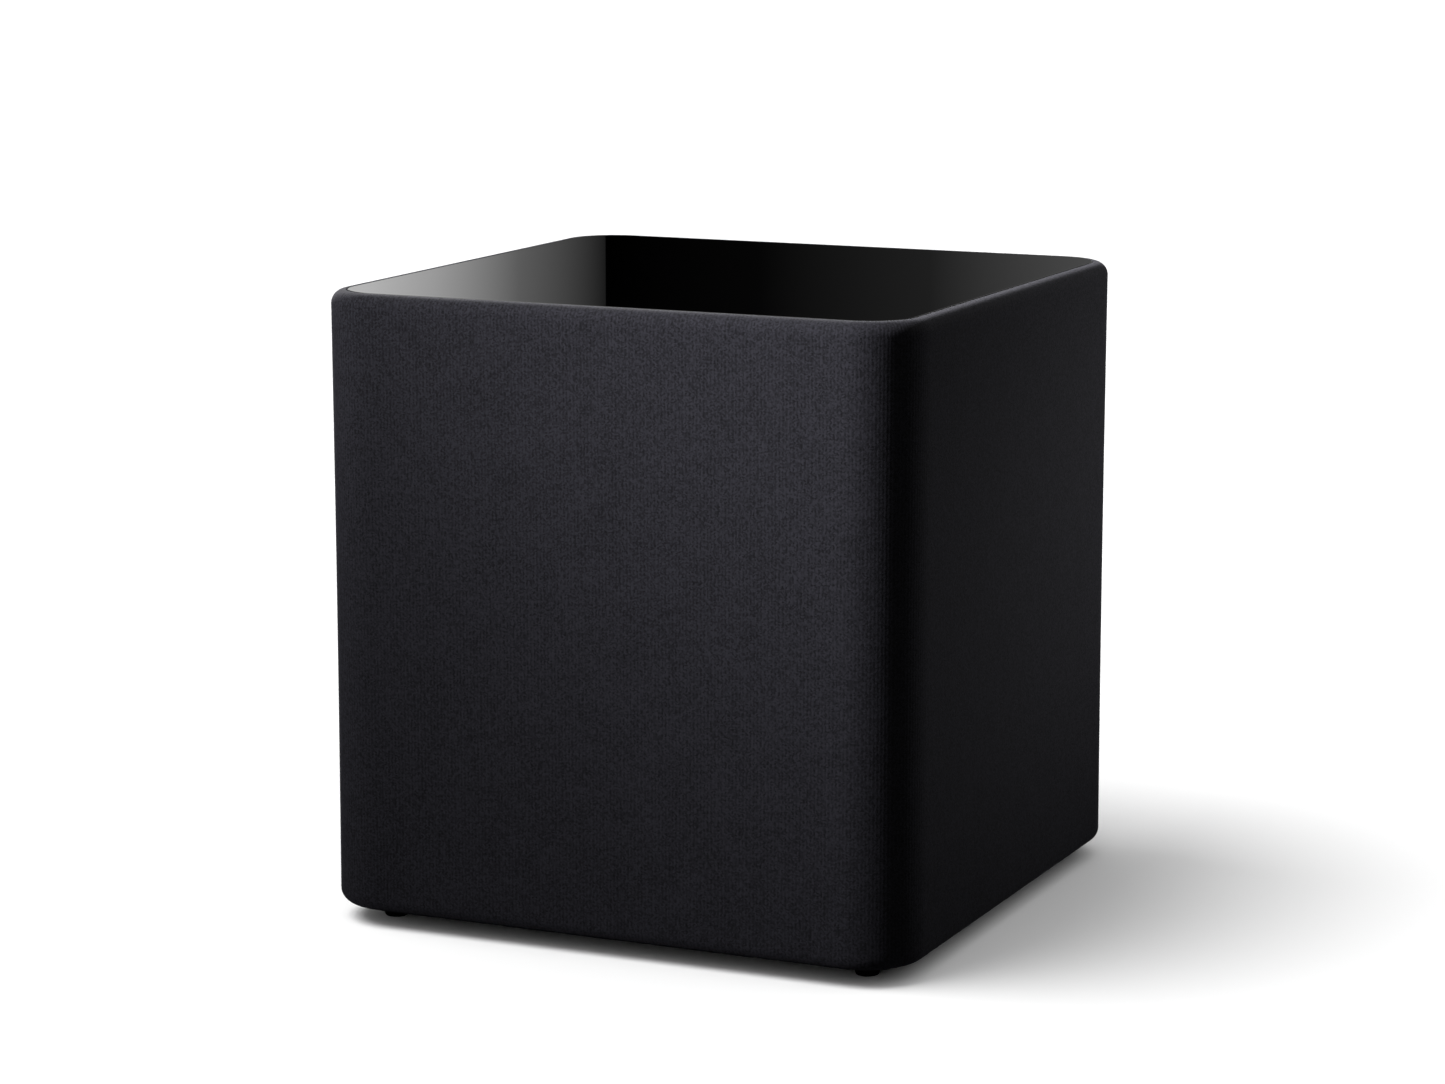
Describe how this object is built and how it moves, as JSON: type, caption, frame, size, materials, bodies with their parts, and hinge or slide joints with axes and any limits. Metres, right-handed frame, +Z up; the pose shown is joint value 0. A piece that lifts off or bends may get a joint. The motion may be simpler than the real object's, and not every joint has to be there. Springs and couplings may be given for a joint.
{
  "type": "subwoofer",
  "caption": "Near-cube active subwoofer in a black knit fabric sleeve with a glossy black top plate, round rubber feet, a front driver behind the fabric and a rear plate amplifier.",
  "frame": {"origin": "on the floor, below the middle of the width and of the whole depth, knobs included", "axes": "+Z up, the driver faces -Y and the amplifier plate faces +Y, +X to the right seen from the front"},
  "size_m": [0.41, 0.421, 0.4145],
  "materials": {
    "knit_fabric": "fine black knit, matt",
    "black_gloss": "piano black, polished",
    "foot_rubber": "moulded, matt",
    "black_abs": "fine spark-eroded grain",
    "fibreboard": "raw fibreboard",
    "polyester_wadding": "loose fibre",
    "coated_aluminium": "fine textured powder coat",
    "zinc_steel": "bright zinc",
    "black_steel": "black oxide",
    "pressed_pulp": "coated paper cone",
    "spider_cloth": "resin-dipped weave",
    "former_film": "polyimide film",
    "copper_wire": "enamelled copper",
    "ferrite": "sintered",
    "wire_jacket": "smooth insulation",
    "circuit_laminate": "solder mask",
    "device_epoxy": "moulded epoxy",
    "brass_turned": "turned",
    "gold_plate": "gold plated",
    "transformer_core": "ferrite core with tape",
    "capacitor_sleeve": "shrink sleeve",
    "white_nylon": "moulded",
    "ribbon_jacket": "flat cable",
    "clear_lens": "clear"
  },
  "bodies": {
    "cabinet": {"corner_posts": "fibreboard", "side_panels": "fibreboard", "top_panel": "fibreboard", "bottom_panel": "fibreboard", "rear_panel": "fibreboard", "front_baffle": "fibreboard", "window_brace": "fibreboard", "damping_wadding": "polyester_wadding", "top_rail": "black_abs", "bottom_rail": "black_abs", "grille_frame": "black_abs", "fabric_sleeve": "knit_fabric", "top_plate": "black_gloss", "base_plate": "black_abs", "feet": "foot_rubber", "foot_screws": "zinc_steel", "driver_basket": "coated_aluminium", "driver_trim_ring": "foot_rubber", "surround": "foot_rubber", "spider": "spider_cloth", "pole_plate": "zinc_steel", "magnet": "ferrite", "yoke": "zinc_steel", "magnet_boot": "foot_rubber", "driver_screws": "black_steel", "driver_terminals": "black_abs", "speaker_wires": "wire_jacket", "amp_plate": "coated_aluminium", "amp_gasket": "foot_rubber", "amp_screws": "black_steel", "heat_sink": "coated_aluminium", "power_transistors": "device_epoxy", "power_board": "circuit_laminate", "board_standoffs": "brass_turned", "control_board": "circuit_laminate", "transformer": "transformer_core", "filter_capacitors": "capacitor_sleeve", "potentiometers": "zinc_steel", "slide_switch_bodies": "zinc_steel", "rocker_housing": "black_abs", "status_light": "clear_lens", "line_inputs": "gold_plate", "input_insulators": "white_nylon", "trigger_jack": "black_abs", "mains_inlet": "black_abs", "inlet_pins": "zinc_steel", "signal_ribbon": "ribbon_jacket"},
    "cone_assembly": {"cone": "pressed_pulp", "dust_cap": "pressed_pulp", "coil_former": "former_film", "voice_coil": "copper_wire"},
    "volume_control": {"volume_shaft": "zinc_steel", "volume_knob": "black_abs"},
    "crossover_control": {"crossover_shaft": "zinc_steel", "crossover_knob": "black_abs"},
    "phase_button": {"phase_slider": "white_nylon"},
    "power_mode_button": {"power_mode_slider": "white_nylon"},
    "mains_rocker": {"power_rocker": "black_abs"},
    "fuse_tray": {"fuse_drawer": "black_abs", "fuse": "clear_lens"}
  },
  "joints": [
    {"name": "cone_travel", "type": "slide", "parent": "cabinet", "child": "cone_assembly", "axis": [0, -1, 0], "range_m": [-0.01, 0.01], "stiffness_N_per_m": 3500, "deforming": ["surround", "spider"]},
    {"name": "volume_turn", "type": "hinge", "parent": "cabinet", "child": "volume_control", "pos_m": [0.052, 0.1925, 0.3155], "axis": [0, 1, 0], "range_deg": [-150, 150]},
    {"name": "crossover_turn", "type": "hinge", "parent": "cabinet", "child": "crossover_control", "pos_m": [0.008, 0.1925, 0.3155], "axis": [0, 1, 0], "range_deg": [-150, 150]},
    {"name": "phase_slide", "type": "slide", "parent": "cabinet", "child": "phase_button", "axis": [1, 0, 0], "range_m": [0, 0.004]},
    {"name": "power_mode_slide", "type": "slide", "parent": "cabinet", "child": "power_mode_button", "axis": [1, 0, 0], "range_m": [0, 0.004]},
    {"name": "mains_tilt", "type": "hinge", "parent": "cabinet", "child": "mains_rocker", "pos_m": [-0.066, 0.1945, 0.1675], "axis": [-1, 0, 0], "range_deg": [0, 18]},
    {"name": "fuse_tray_pull", "type": "slide", "parent": "cabinet", "child": "fuse_tray", "axis": [0, 1, 0], "range_m": [0, 0.016]}
  ]
}
